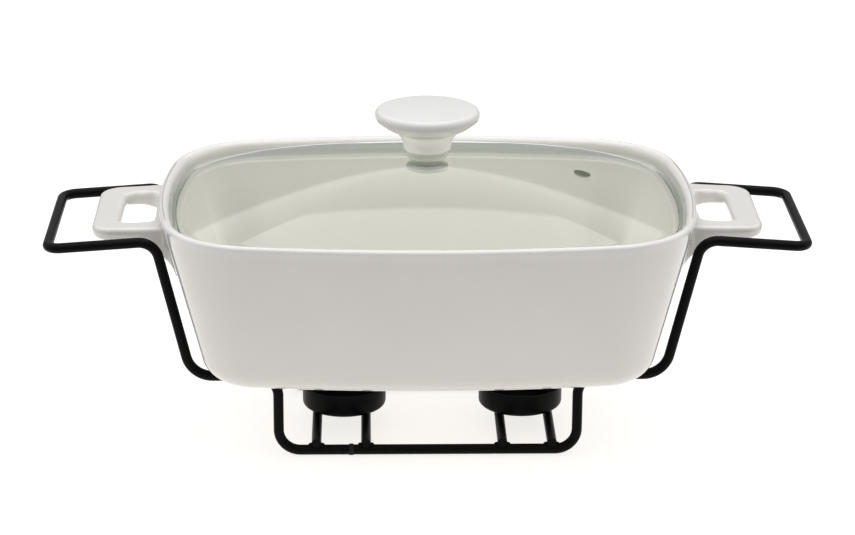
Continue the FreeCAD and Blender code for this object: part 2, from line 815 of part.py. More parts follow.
def makeScrew():
    # A pan head below the washer, with a driver slot, and a shank up into the knob's insert
    head, high, shank = size("screwHeadRadius"), size("screwHeadHeight"), size("screwRadius")
    shankTop = knobBase + size("screwReach") - washerUnder
    corners = [(zero, -high), (head, -high), (head, zero), (shank, zero), (shank, shankTop), (zero, shankTop)]
    body, turned = makeTurned("lid_screw", corners, washerUnder)
    roundEdges(body, "screwPan", turned, lambda edge: isRing(edge, head, -high), size("screwHeadRound"))
    slot = newSketch(body, "screwSlotSketch", "XY_Plane", -high)
    half = size("slotWidth") / 2
    polygonSketch(slot, [(-head, -half), (head, -half), (head, half), (-head, half)])
    cut = body.newObject("PartDesign::Pocket", "screwSlot")
    cut.Profile = slot
    cut.Reversed = True
    bind(cut, "Length", size("slotDepth"))
    doc.recompute()
    return body


def makeInsert():
    # A threaded sleeve with a small flange that bears on the gasket
    bore, sleeve, flange = size("screwRadius"), size("insertRadius"), size("insertFlangeRadius")
    step, top = size("insertFlangeHeight"), size("insertLength")
    corners = [(bore, zero), (flange, zero), (flange, step), (sleeve, step), (sleeve, top), (bore, top)]
    return makeTurned("knob_insert", corners, knobBase)[0]


def makeKnob():
    # A mushroom knob: crowned cap, rounded rim, waisted neck and a stepped bore for the insert
    knob = newBody("lid_knob")
    sketch = newSketch(knob, "knobProfile", "XZ_Plane")
    cap, top, neck = size("knobRadius"), size("knobHeight"), size("knobNeckRadius")
    waist, waistHeight = size("knobWaistRadius"), size("knobWaistHeight")
    belly, bellyHeight = size("knobBellyRadius"), size("knobBellyHeight")
    brow, shoulder = size("knobBrowHeight"), top - size("knobCrown")
    flange, step = size("insertFlangeRadius"), size("insertFlangeHeight")
    sleeve, bore = size("insertRadius"), size("insertLength")
    corners = [
        (cap, shoulder), (zero, top), (zero, bore), (sleeve, bore), (sleeve, step), (flange, step),
        (flange, zero), (neck, zero), (waist, waistHeight), (belly, bellyHeight), (cap, brow),
    ]
    polygonSketch(sketch, corners, crown=0)
    shaped = revolveProfile(knob, "knobTurned", sketch)
    rounds = [
        ("knobWaist", waist, waistHeight, size("knobWaistRound")),
        ("knobBelly", belly, bellyHeight, size("knobBellyRound")),
        ("knobBrow", cap, brow, size("knobBrowRound")),
        ("knobRim", cap, shoulder, size("knobRimRound")),
        ("knobNeck", neck, zero, size("knobNeckRound")),
    ]
    for name, radius, height, rounding in rounds:
        shaped = roundEdges(knob, name, shaped,
                            lambda edge, radius=radius, height=height: isRing(edge, radius, height), rounding)
    place(knob, z=knobBase)
    return knob


lidPieces = [glass, makeKnob(), makeInsert(), makeGasket(), makeBush(), makeWasher(), makeScrew()]
doc.recompute()

pieces = [wireRight, wireLeft, buttWeldFront, buttWeldRear] + crossWires + [crossWireWelds] + cups
pieces += [cupWelds, dish] + lidPieces

for item in doc.Objects:
    if "Invalid" in item.State or "Error" in item.State:
        raise RuntimeError("failed: %s %s" % (item.Name, item.State))
for piece in pieces:
    shape = piece.Shape
    if shape.isNull() or not shape.isValid():
        raise RuntimeError("bad shape: " + piece.Label)

for piece in pieces:
    shape = piece.Shape
    shape.exportStep("parts/%s.step" % piece.Label)
    box = shape.BoundBox
    print("%-18s solids %d  volume %9.1f  z %.2f to %.2f" % (
        piece.Label, len(shape.Solids), shape.Volume, box.ZMin, box.ZMax))
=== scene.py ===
import math
from bisect import bisect_left

import bmesh
import bpy
from mathutils import Matrix, Vector
from mathutils.kdtree import KDTree


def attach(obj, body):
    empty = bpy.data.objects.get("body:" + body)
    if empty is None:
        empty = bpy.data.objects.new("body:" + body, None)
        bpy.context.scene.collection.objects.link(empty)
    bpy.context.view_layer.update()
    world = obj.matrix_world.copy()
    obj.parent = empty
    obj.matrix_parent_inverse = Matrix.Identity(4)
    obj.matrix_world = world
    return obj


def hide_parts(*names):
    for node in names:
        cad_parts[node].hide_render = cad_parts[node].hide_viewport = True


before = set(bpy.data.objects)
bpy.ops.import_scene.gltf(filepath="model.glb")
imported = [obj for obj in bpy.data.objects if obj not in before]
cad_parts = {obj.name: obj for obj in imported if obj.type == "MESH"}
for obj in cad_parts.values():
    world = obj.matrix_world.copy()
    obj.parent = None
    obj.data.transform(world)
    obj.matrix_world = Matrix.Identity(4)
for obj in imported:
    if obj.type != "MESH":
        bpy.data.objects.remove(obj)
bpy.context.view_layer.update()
mm = 0.001
sameSpot = 1e-7  # points closer than this, in metres, are one point
onAxis = 1e-6  # a smaller radius, in millimetres, is a point on the axis


def millimetres(x, y, z):
    return Vector((x * mm, y * mm, z * mm))


def smoothStep(low, high, value):
    t = min(max((value - low) / (high - low), 0.0), 1.0)
    return t * t * (3 - 2 * t)


def addObject(name, data):
    made = bpy.data.objects.new(name, data)
    bpy.context.scene.collection.objects.link(made)
    return made


def meshObject(name, vertices, faces):
    mesh = bpy.data.meshes.new(name)
    mesh.from_pydata([tuple(v) for v in vertices], [], faces)
    mesh.update()
    return addObject(name, mesh)


def shadeMesh(mesh, smooth=True):
    for polygon in mesh.polygons:
        polygon.use_smooth = smooth


def tidyNormals(made, smooth=True):
    work = bmesh.new()
    work.from_mesh(made.data)
    bmesh.ops.remove_doubles(work, verts=work.verts, dist=sameSpot)
    bmesh.ops.recalc_face_normals(work, faces=work.faces)
    work.to_mesh(made.data)
    work.free()
    shadeMesh(made.data, smooth)
    made.data.update()
    return made


def sharpenByAngle(made, degrees):
    work = bmesh.new()
    work.from_mesh(made.data)
    for edge in work.edges:
        if len(edge.link_faces) == 2:
            edge.smooth = edge.calc_face_angle() < math.radians(degrees)
    work.to_mesh(made.data)
    work.free()


def ringFaces(rows, columns, wrap=True):
    # quads between closed rings of points, and between the last ring and the first when wrap is set
    faces = []
    for row in range(rows if wrap else rows - 1):
        upper = (row + 1) % rows
        for column in range(columns):
            after = (column + 1) % columns
            faces.append((row * columns + column, row * columns + after,
                          upper * columns + after, upper * columns + column))
    return faces


def finishPiece(made, body, slot, material, *nodes):
    made.data.materials.clear()
    made.data.materials.append(material)
    if nodes:
        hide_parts(*nodes)
    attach(made, body)
    return made


def evaluatedMesh(made, name):
    # the result of the object's modifiers as a plain mesh in a new object
    bpy.context.view_layer.update()
    graph = bpy.context.evaluated_depsgraph_get()
    mesh = bpy.data.meshes.new_from_object(made.evaluated_get(graph), depsgraph=graph)
    mesh.name = name
    bpy.data.objects.remove(made)
    return addObject(name, mesh)


noiseSpan = (0.3, 0.7)  # nearly all values of a noise texture lie in it
noiseRoughness = 0.55


def newMaterial(name):
    material = bpy.data.materials.new(name)
    material.use_nodes = True
    nodes, links = material.node_tree.nodes, material.node_tree.links
    nodes.clear()
    output = nodes.new("ShaderNodeOutputMaterial")
    shader = nodes.new("ShaderNodeBsdfPrincipled")
    links.new(shader.outputs["BSDF"], output.inputs["Surface"])
    place = nodes.new("ShaderNodeTexCoord")
    return material, nodes, links, shader, place


def noiseOf(nodes, links, place, scale, detail):
    noise = nodes.new("ShaderNodeTexNoise")
    noise.inputs["Scale"].default_value = scale
    noise.inputs["Detail"].default_value = detail
    noise.inputs["Roughness"].default_value = noiseRoughness
    links.new(place.outputs["Object"], noise.inputs["Vector"])
    return noise.outputs["Fac"]


def attributeOf(nodes, name):
    attribute = nodes.new("ShaderNodeAttribute")
    attribute.attribute_name = name
    return attribute.outputs["Fac"]


def setInput(links, socket, value):
    # the value is another node's output or a constant
    if isinstance(value, bpy.types.NodeSocket):
        links.new(value, socket)
    else:
        socket.default_value = value


def mixColours(nodes, links, factor, first, second):
    mix = nodes.new("ShaderNodeMix")
    mix.data_type = "RGBA"
    for name, value in (("Factor", factor), ("A", first), ("B", second)):
        setInput(links, mix.inputs[name], value)
    return mix.outputs["Result"]


def mathOf(nodes, links, operation, *values):
    worked = nodes.new("ShaderNodeMath")
    worked.operation = operation
    for socket, value in zip(worked.inputs, values):
        setInput(links, socket, value)
    return worked.outputs["Value"]


def rangeOf(nodes, links, source, low, high, toLow, toHigh, kind="LINEAR"):
    remap = nodes.new("ShaderNodeMapRange")
    remap.interpolation_type = kind
    for name, value in (("From Min", low), ("From Max", high), ("To Min", toLow), ("To Max", toHigh)):
        remap.inputs[name].default_value = value
    links.new(source, remap.inputs["Value"])
    return remap.outputs["Result"]


def smoothRange(nodes, links, source, low, high, toLow, toHigh):
    return rangeOf(nodes, links, source, low, high, toLow, toHigh, "SMOOTHSTEP")


def bumpOf(nodes, links, shader, height, strength, distance, below=None):
    bump = nodes.new("ShaderNodeBump")
    bump.inputs["Strength"].default_value = strength
    bump.inputs["Distance"].default_value = distance
    links.new(height, bump.inputs["Height"])
    if below is not None:
        links.new(below, bump.inputs["Normal"])
    links.new(bump.outputs["Normal"], shader.inputs["Normal"])
    return bump.outputs["Normal"]


glazeLook = {
    "body": (0.642, 0.620, 0.580, 1.0),
    "cloud": (0.660, 0.639, 0.602, 1.0),
    # painted light: the lighter colours laid where the light mask lies, standing in for light that the lid
    # keeps out of the dish
    "thick": (0.925, 0.908, 0.866, 1.0),
    "paintedLightCloud": (0.940, 0.924, 0.884, 1.0),
    # painted shade: the colour of the ledge's corner in the gap by the lid's edge
    "paintedShade": (0.55, 0.56, 0.50, 1.0),
    "roughness": (0.09, 0.16),
    "waviness": 26.0,
    "waveBump": (0.10, 0.0012),
    "peel": 420.0,
    "peelBump": (0.02, 0.0002),
    "coat": 0.55,
    "coatRoughness": 0.04,
    "ior": 1.5,
}
# for the knob the lighter colours are painted light on the neck and the cap's underside
knobLook = dict(
    glazeLook, body=(0.672, 0.659, 0.638, 1.0), cloud=(0.690, 0.679, 0.660, 1.0),
    thick=(0.930, 0.915, 0.885, 1.0), paintedLightCloud=(0.940, 0.926, 0.898, 1.0),
    roughness=(0.22, 0.26), waviness=60.0, peelBump=(0.01, 0.0002), coat=0.15)


def glazeMaterial(name, look):
    # a white glaze over pale clay: cloudy tone, faint peel and slow waves in the gloss; painted light
    # lightens it by one mask and painted shade darkens it by another
    material, nodes, links, shader, place = newMaterial(name)
    cloud = noiseOf(nodes, links, place, look["waviness"], detail=5.0)
    patches = rangeOf(nodes, links, cloud, *noiseSpan, 0.0, 1.0)
    tone = mixColours(nodes, links, attributeOf(nodes, "paintedLight"),
                      mixColours(nodes, links, patches, look["body"], look["cloud"]),
                      mixColours(nodes, links, patches, look["thick"], look["paintedLightCloud"]))
    # painted shade: darker in the ledge's corner by the lid's edge
    links.new(mixColours(nodes, links, attributeOf(nodes, "paintedShade"), tone, look["paintedShade"]),
              shader.inputs["Base Color"])
    peel = noiseOf(nodes, links, place, look["peel"], detail=2.0)
    links.new(rangeOf(nodes, links, peel, *noiseSpan, *look["roughness"]), shader.inputs["Roughness"])
    shader.inputs["IOR"].default_value = look["ior"]
    shader.inputs["Coat Weight"].default_value = look["coat"]
    shader.inputs["Coat Roughness"].default_value = look["coatRoughness"]
    slow = bumpOf(nodes, links, shader, cloud, *look["waveBump"])
    bumpOf(nodes, links, shader, peel, *look["peelBump"], slow)
    return material


coatLook = {
    "dark": (0.0016, 0.0016, 0.0016, 1.0),
    "light": (0.0034, 0.0034, 0.0034, 1.0),
    "roughness": (0.30, 0.42),
    "grain": 900.0,
    "grainBump": (0.25, 0.0001),
    "cloud": 70.0,
    "ior": 1.48,
    "specular": 0.07,
}
cupLook = dict(coatLook, roughness=(0.30, 0.44))
weldLook = dict(coatLook, dark=(0.010, 0.010, 0.010, 1.0), light=(0.022, 0.022, 0.021, 1.0))


def coatMaterial(name, look):
    # baked black paint on steel wire: fine grain and slightly uneven gloss
    material, nodes, links, shader, place = newMaterial(name)
    cloud = noiseOf(nodes, links, place, look["cloud"], detail=4.0)
    grain = noiseOf(nodes, links, place, look["grain"], detail=3.0)
    links.new(mixColours(nodes, links, cloud, look["dark"], look["light"]), shader.inputs["Base Color"])
    links.new(rangeOf(nodes, links, cloud, *noiseSpan, *look["roughness"]), shader.inputs["Roughness"])
    shader.inputs["IOR"].default_value = look["ior"]
    shader.inputs["Specular IOR Level"].default_value = look["specular"]
    bumpOf(nodes, links, shader, grain, *look["grainBump"])
    return material


glassLook = {
    "tint": (0.986, 0.987, 0.967, 1.0),
    "tintDeep": (0.980, 0.983, 0.957, 1.0),
    "edgeTint": (0.13, 0.17, 0.12, 1.0),
    "waviness": 9.0,
    "waves": 24.0,
    "waveShare": 0.35,
    "waveBump": (0.15, 0.0015),
    "headOn": 0.055,
    "steepness": 5.0,
    "gloss": (0.94, 0.97, 0.94, 1.0),
}


def glassMaterial(name, look):
    # pressed soda glass: it mirrors more the flatter it is looked along, has slow ripples and greener edges
    material, nodes, links, shader, place = newMaterial(name)
    output = next(node for node in nodes if node.type == "OUTPUT_MATERIAL")
    nodes.remove(shader)
    ripple = noiseOf(nodes, links, place, look["waviness"], detail=1.0)
    tint = mixColours(nodes, links, ripple, look["tint"], look["tintDeep"])
    tint = mixColours(nodes, links, attributeOf(nodes, "edge"), tint, look["edgeTint"])
    clear = nodes.new("ShaderNodeBsdfTransparent")
    links.new(tint, clear.inputs["Color"])
    mirror = nodes.new("ShaderNodeBsdfGlossy")
    mirror.inputs["Roughness"].default_value = 0.0
    mirror.inputs["Color"].default_value = look["gloss"]
    waves = noiseOf(nodes, links, place, look["waves"], detail=0.0)
    swell = mathOf(nodes, links, "MULTIPLY_ADD", waves, look["waveShare"], ripple)
    surface = bumpOf(nodes, links, mirror, swell, *look["waveBump"])
    facing = nodes.new("ShaderNodeLayerWeight")
    facing.inputs["Blend"].default_value = 0.5  # Facing is then one minus the cosine
    links.new(surface, facing.inputs["Normal"])
    steep = mathOf(nodes, links, "POWER", facing.outputs["Facing"], look["steepness"])
    share = mathOf(nodes, links, "MULTIPLY_ADD", steep, 1 - look["headOn"], look["headOn"])
    # both faces of the sheet mirror, and the upper one carries it all: 2s / (1 + s)
    both = mathOf(nodes, links, "DIVIDE", mathOf(nodes, links, "MULTIPLY", share, 2.0),
                  mathOf(nodes, links, "ADD", share, 1.0))
    shown = rangeOf(nodes, links, attributeOf(nodes, "under"), 0.0, 1.0, 1.0, 0.0)
    mix = nodes.new("ShaderNodeMixShader")
    links.new(mathOf(nodes, links, "MULTIPLY", both, shown), mix.inputs["Fac"])
    links.new(clear.outputs["BSDF"], mix.inputs[1])
    links.new(mirror.outputs["BSDF"], mix.inputs[2])
    links.new(mix.outputs["Shader"], output.inputs["Surface"])
    return material


fixingLooks = {
    "sealRubber": {"dark": (0.62, 0.63, 0.56, 1), "light": (0.70, 0.71, 0.64, 1), "cloud": 400.0,
                   "roughness": (0.35, 0.5), "metallic": 0.0, "alpha": 1.0},
    # painted light: the bush's pale silicone is painted paler still, for the light that the gasket and knob
    # shade off it
    "bushRubberWithPaintedLight": {"dark": (0.80, 0.81, 0.73, 1), "light": (0.86, 0.87, 0.79, 1), "cloud": 400.0,
                   "roughness": (0.35, 0.5), "metallic": 0.0, "alpha": 0.7},
    # painted light: the steel washer and screw are painted nearly white, for the light that the gasket
    # shades off them
    "fixingSteelWithPaintedLight": {"dark": (0.84, 0.85, 0.77, 1), "light": (0.89, 0.90, 0.83, 1), "cloud": 500.0,
                    "roughness": (0.30, 0.44), "metallic": 0.2, "alpha": 1.0},
    "insertBrass": {"dark": (0.62, 0.47, 0.22, 1), "light": (0.72, 0.56, 0.28, 1), "cloud": 500.0,
                    "roughness": (0.25, 0.4), "metallic": 1.0, "alpha": 1.0},
}
fixingBump = (0.1, 0.0002)


def fixingMaterial(name, look):
    # a quiet finish with cloudy tone and grain
    material, nodes, links, shader, place = newMaterial(name)
    cloud = noiseOf(nodes, links, place, look["cloud"], detail=4.0)
    links.new(mixColours(nodes, links, cloud, look["dark"], look["light"]), shader.inputs["Base Color"])
    links.new(rangeOf(nodes, links, cloud, *noiseSpan, *look["roughness"]), shader.inputs["Roughness"])
    shader.inputs["Metallic"].default_value = look["metallic"]
    shader.inputs["Alpha"].default_value = look["alpha"]
    bumpOf(nodes, links, shader, cloud, *fixingBump)
    return material


dishGlaze = glazeMaterial("dishGlaze", glazeLook)
knobGlaze = glazeMaterial("knobGlaze", knobLook)
blackCoat = coatMaterial("blackCoat", coatLook)
cupCoat = coatMaterial("cupCoat", cupLook)
weldCoat = coatMaterial("weldCoat", weldLook)
lidGlass = glassMaterial("lidGlass", glassLook)
sealRubber, bushRubberWithPaintedLight, fixingSteelWithPaintedLight, insertBrass = (fixingMaterial(name, look)
                                                    for name, look in fixingLooks.items())
print("materials made")


# outlines that the dish and its lid share: bowed sides and round corners
outlineSteps = {"short": 14, "corner": 20, "long": 26}
rimOutline = {"halfLength": 136.5, "halfDepth": 96.39, "longBow": 624.0, "shortBow": 297.0, "corner": 49.1}
footOutline = {"halfLength": 113.7, "halfDepth": 82.3, "longBow": 691.0, "shortBow": 431.0, "corner": 25.2}


def inset(outline, distance):
    return {key: value - distance for key, value in outline.items()}


def arcCentres(outline):
    # centres of the long side's, the short side's and the corner's arc, which meet without a kink
    corner = outline["corner"]
    longCentre = Vector((0, outline["halfDepth"] - outline["longBow"]))
    shortCentre = Vector((outline["halfLength"] - outline["shortBow"], 0))
    toLong, toShort = outline["longBow"] - corner, outline["shortBow"] - corner
    between = shortCentre - longCentre
    along = (toLong ** 2 - toShort ** 2 + between.length_squared) / (2 * between.length)
    across = math.sqrt(toLong ** 2 - along ** 2)
    ahead = between.normalized()
    aside = Vector((-ahead.y, ahead.x))
    meetings = (longCentre + ahead * along + aside * side * across for side in (1, -1))
    return longCentre, shortCentre, max(meetings, key=lambda place: place.x + place.y)


def bowedOutline(outline):
    # points and outward normals of the eight arcs, in order round the outline from (halfLength, 0)
    longCentre, shortCentre, centre = arcCentres(outline)
    shortAngle = math.atan2(centre.y, centre.x - shortCentre.x)
    longAngle = math.atan2(centre.y - longCentre.y, centre.x)
    quarter = []
    for middle, radius, start, end, steps in (
            (shortCentre, outline["shortBow"], 0.0, shortAngle, outlineSteps["short"]),
            (centre, outline["corner"], shortAngle, longAngle, outlineSteps["corner"]),
            (longCentre, outline["longBow"], longAngle, math.pi / 2, outlineSteps["long"])):
        for step in range(steps):
            angle = start + (end - start) * step / steps
            normal = Vector((math.cos(angle), math.sin(angle)))
            quarter.append((middle + normal * radius, normal))
    quarter.append((Vector((0, outline["halfDepth"])), Vector((0, 1))))
    upper = quarter + [(Vector((-p.x, p.y)), Vector((-n.x, n.y))) for p, n in reversed(quarter[:-1])]
    return upper + [(Vector((p.x, -p.y)), Vector((n.x, -n.y))) for p, n in reversed(upper[1:-1])]


def outlinePoints(outline, height):
    return [Vector((p.x, p.y, height)) for p, n in bowedOutline(outline)]


def roundedCorner(before, corner, after, radius, steps):
    # points of an arc of the radius, tangent to the two lines that meet at the corner
    back, ahead = (before - corner).normalized(), (after - corner).normalized()
    half = back.angle(ahead) / 2
    reach = radius / math.tan(half)
    centre = corner + (back + ahead).normalized() * radius / math.sin(half)
    start, end = corner + back * reach - centre, corner + ahead * reach - centre
    sweep = start.angle(end)
    points = []
    for step in range(steps + 1):
        t = step / steps
        spoke = start * math.sin((1 - t) * sweep) + end * math.sin(t * sweep)
        points.append(centre + spoke / math.sin(sweep))
    return points


def sectionRows(corners):
    # corners: rings of points, each with a radius, its arc's steps and the steps of the run that follows
    columns = len(corners[0][0])
    rows = []
    for column in range(columns):
        line = []
        runSteps = 0
        for index, (ring, radius, arcSteps, nextSteps) in enumerate(corners):
            point = ring[column]
            if radius > 0:
                arc = roundedCorner(corners[index - 1][0][column], point, corners[index + 1][0][column],
                                    radius, arcSteps)
            else:
                arc = [point]
            if line:
                previous = line[-1]
                line += [previous.lerp(arc[0], step / runSteps) for step in range(1, runSteps)]
            line += arc
            runSteps = nextSteps
        rows.append(line)
    return [[rows[column][row] for column in range(columns)] for row in range(len(rows[0]))]


dishSizes = {
    "base": 46.2, "rimTop": 127.5, "floor": 53.2, "ledge": 118.6,
    "rimWall": 5.4, "rimDraft": 1.0, "ledgeWidth": 5.6, "footWall": 7.5,
    "footRound": 15.0, "rimRoundOut": 1.9, "rimRoundIn": 3.3, "ledgeCorner": 3.2, "ledgeRound": 1.5,
    "cavityRound": 11.0, "footFlat": 22.0, "floorFlat": 16.0, "middleRings": (0.7, 0.4, 0.15),
}
# where the painted light and the painted shade lie on the dish
glazeSpread = {
    "rimPaintedLight": 0.15, "rimFade": (-5.0, -2.0),  # from the rim's top
    "wallFade": (-0.5, 2.0),  # from the inner wall, outwards
    "floorSkin": 1.0, "paintedLightFalloff": 0.25, "paintedLightFalloffSpan": (4.0, 24.0),  # from the floor
    "mouthFade": (-2.1, 0.9), "paintedShadeFoot": (-1.1, -0.2), "paintedShadeTop": (0.4, 5.9),  # from the ledge
    "paintedShadeWallSide": (-3.0, -1.0), "paintedShadeLidSide": (2.0, 3.4),  # from the ledge's corner, inwards
}
rimInside = inset(rimOutline, dishSizes["rimWall"])
ledgeOutline = inset(rimInside, dishSizes["rimDraft"])
mouthOutline = inset(ledgeOutline, dishSizes["ledgeWidth"])
bottomOutline = inset(footOutline, dishSizes["footWall"])


def makeDishBody(sizes):
    base, top, floor, ledge = sizes["base"], sizes["rimTop"], sizes["floor"], sizes["ledge"]
    rows = sectionRows([
        (outlinePoints(inset(footOutline, sizes["footFlat"]), base), 0, 0, 3),
        (outlinePoints(footOutline, base), sizes["footRound"], 12, 14),
        (outlinePoints(rimOutline, top), sizes["rimRoundOut"], 7, 1),
        (outlinePoints(rimInside, top), sizes["rimRoundIn"], 9, 3),
        (outlinePoints(ledgeOutline, ledge), sizes["ledgeCorner"], 8, 3),
        (outlinePoints(mouthOutline, ledge), sizes["ledgeRound"], 6, 12),
        (outlinePoints(bottomOutline, floor), sizes["cavityRound"], 10, 4),
        (outlinePoints(inset(bottomOutline, sizes["floorFlat"]), floor), 0, 0, 1),
    ])
    columns = len(rows[0])
    vertices = [millimetres(*point) for row in rows for point in row]
    faces = ringFaces(len(rows), columns, wrap=False)
    # both flat middles are closed with smaller and smaller rings, and a fan at the centre
    for ring, height in ((0, base), (len(rows) - 1, floor)):
        outer = list(range(ring * columns, (ring + 1) * columns))
        for share in sizes["middleRings"]:
            first = len(vertices)
            vertices += [millimetres(point.x * share, point.y * share, height) for point in rows[ring]]
            inner = list(range(first, first + columns))
            faces += [(outer[i], outer[(i + 1) % columns], inner[(i + 1) % columns], inner[i])
                      for i in range(columns)]
            outer = inner
        vertices.append(millimetres(0, 0, height))
        faces += [(outer[i], outer[(i + 1) % columns], len(vertices) - 1) for i in range(columns)]
    return meshObject("dishBody", vertices, faces)


handleSizes = {
    "root": 124.5, "end": 168.6, "rootHalfWidth": 36.8, "endHalfWidth": 34.0,
    "rootCorner": 1.0, "corner": 11.0, "top": 119.7, "thickness": 6.6, "droop": 1.6,
    "holeEdge": (2.6, 3.25), "upperEdge": (2.0, 2.0), "lowerEdge": (2.6, 4.4),
    "holeRoot": 138.0, "holeEnd": 154.4, "holeHalfWidth": 23.6, "holeCorner": 5.2,
    "gussetFoot": 139.5, "gussetReach": 14.0, "gussetSlope": 1.16, "gussetSoft": 5.0,
    "flare": 3.2, "flareShare": 0.8, "flareSide": 8.0, "buried": 1.4, "buriedTop": 117.4,
    "arcSteps": 10, "sideSteps": 20, "acrossSteps": 20, "edgeSteps": 8,
}


def roundedPlan(corners, radii, arcSteps, sideSteps):
    # a closed plan outline of straight sides and round corners, as evenly stepped points
    points = []
    count = len(corners)
    for index, (corner, radius) in enumerate(zip(corners, radii)):
        before, after = corners[index - 1], corners[(index + 1) % count]
        arc = roundedCorner(*(Vector((*place, 0)) for place in (before, corner, after)), radius, arcSteps)
        if points:
            points += [points[-1].lerp(arc[0], step / sideSteps) for step in range(1, sideSteps)]
        points += arc
    points += [points[-1].lerp(points[0], step / sideSteps) for step in range(1, sideSteps)]
    return points


def wallReach(y, z):
    # how far out along X the dish's outer wall stands at a depth and a height
    share = (z - dishSizes["base"]) / (dishSizes["rimTop"] - dishSizes["base"])
    reach = footOutline["halfLength"] + (rimOutline["halfLength"] - footOutline["halfLength"]) * share
    bow = footOutline["shortBow"] + (rimOutline["shortBow"] - footOutline["shortBow"]) * share
    return reach - bow + math.sqrt(bow ** 2 - y ** 2)


def blendRoot(x, y, z, middle, sizes):
    # the glaze meets the wall in a small fillet, and inside the wall the root stays under the lid's ledge
    gap, flare = x - wallReach(y, z), sizes["flare"]
    if gap < flare:
        near = min(1 - gap / flare, 1.0)
        swell = flare * (1 - math.sqrt(1 - near * near)) * sizes["flareShare"]
        z += swell if z > middle else -swell
        if abs(y) > sizes["holeHalfWidth"] + sizes["flareSide"]:
            y += math.copysign(swell, y)
    if gap < -sizes["buried"]:
        z = min(z, sizes["buriedTop"])
    return y, z


def makeHandle(name, side, sizes):
    root, end, rootHalf, endHalf = sizes["root"], sizes["end"], sizes["rootHalfWidth"], sizes["endHalfWidth"]
    holeRoot, holeEnd, holeHalf = sizes["holeRoot"], sizes["holeEnd"], sizes["holeHalfWidth"]
    steps = (sizes["arcSteps"], sizes["sideSteps"])
    outer = roundedPlan([(root, -rootHalf), (end, -endHalf), (end, endHalf), (root, rootHalf)],
                        [sizes["rootCorner"], sizes["corner"], sizes["corner"], sizes["rootCorner"]], *steps)
    inner = roundedPlan([(holeRoot, -holeHalf), (holeEnd, -holeHalf),
                         (holeEnd, holeHalf), (holeRoot, holeHalf)], [sizes["holeCorner"]] * 4, *steps)
    edgeSteps, acrossSteps = sizes["edgeSteps"], sizes["acrossSteps"]

    def topAt(x):
        share = (x - root) / (end - root)
        return sizes["top"] - sizes["droop"] * share

    def underAt(x):
        # level outside the hole, then bending down into the gusset's slope against the wall
        inward = sizes["gussetFoot"] - x
        bent = 0.0
        if inward > -sizes["gussetReach"]:
            bent = (inward + math.hypot(inward, sizes["gussetSoft"])) / 2
        return topAt(x) - sizes["thickness"] - sizes["gussetSlope"] * bent

    def roundedEdge(reach, drop):
        turns = [math.pi / 2 * step / edgeSteps for step in range(edgeSteps + 1)]
        return [(reach * (1 - math.cos(turn)), drop * (1 - math.sin(turn))) for turn in turns]

    def acrossLine(width, edge):
        # from the hole's edge to the outer edge
        flat = width - sizes["holeEdge"][0] - edge[0]
        line = roundedEdge(*sizes["holeEdge"])
        line += [(sizes["holeEdge"][0] + flat * step / acrossSteps, 0.0) for step in range(1, acrossSteps)]
        return line + [(width - reach, low) for reach, low in reversed(roundedEdge(*edge))]

    rows = []
    for far, near in zip(outer, inner):
        width, across = (far - near).length, (far - near).normalized()
        ring = []
        for reach, low in acrossLine(width, sizes["upperEdge"]):
            point = near + across * reach
            ring.append((point.x, point.y, topAt(point.x) - low))
        for reach, low in reversed(acrossLine(width, sizes["lowerEdge"])):
            point = near + across * reach
            ring.append((point.x, point.y, underAt(point.x) + low))
        rows.append(ring)
    vertices = []
    for x, y, z in (point for ring in rows for point in ring):
        y, z = blendRoot(x, y, z, topAt(x) - sizes["thickness"] / 2, sizes)
        vertices.append(millimetres(x * side, y, z))
    return meshObject(name, vertices, ringFaces(len(rows), len(rows[0])))


def makeDish():
    pieces = [makeDishBody(dishSizes), makeHandle("handleRight", 1, handleSizes),
              makeHandle("handleLeft", -1, handleSizes)]
    work = bmesh.new()
    for piece in pieces:
        work.from_mesh(tidyNormals(piece).data)
        bpy.data.objects.remove(piece)
    mesh = bpy.data.meshes.new("glazedDish")
    work.to_mesh(mesh)
    work.free()
    shadeMesh(mesh)
    markGlaze(mesh, dishSizes, glazeSpread)
    return finishPiece(addObject("glazedDish", mesh), "dish", "dish_glaze", dishGlaze, "dish")


def outlineReach(outline):
    # how far the outline lies from the middle, by direction
    ring = sorted((math.atan2(point.y, point.x) % (2 * math.pi), math.hypot(point.x, point.y))
                  for point, normal in bowedOutline(outline))
    angles = [angle for angle, reach in ring]

    def reachAt(angle):
        angle %= 2 * math.pi
        upper = bisect_left(angles, angle) % len(ring)
        lower = upper - 1
        span = (angles[upper] - angles[lower]) % (2 * math.pi)
        share = (angle - angles[lower]) % (2 * math.pi) / span
        return ring[lower][1] * (1 - share) + ring[upper][1] * share

    return reachAt


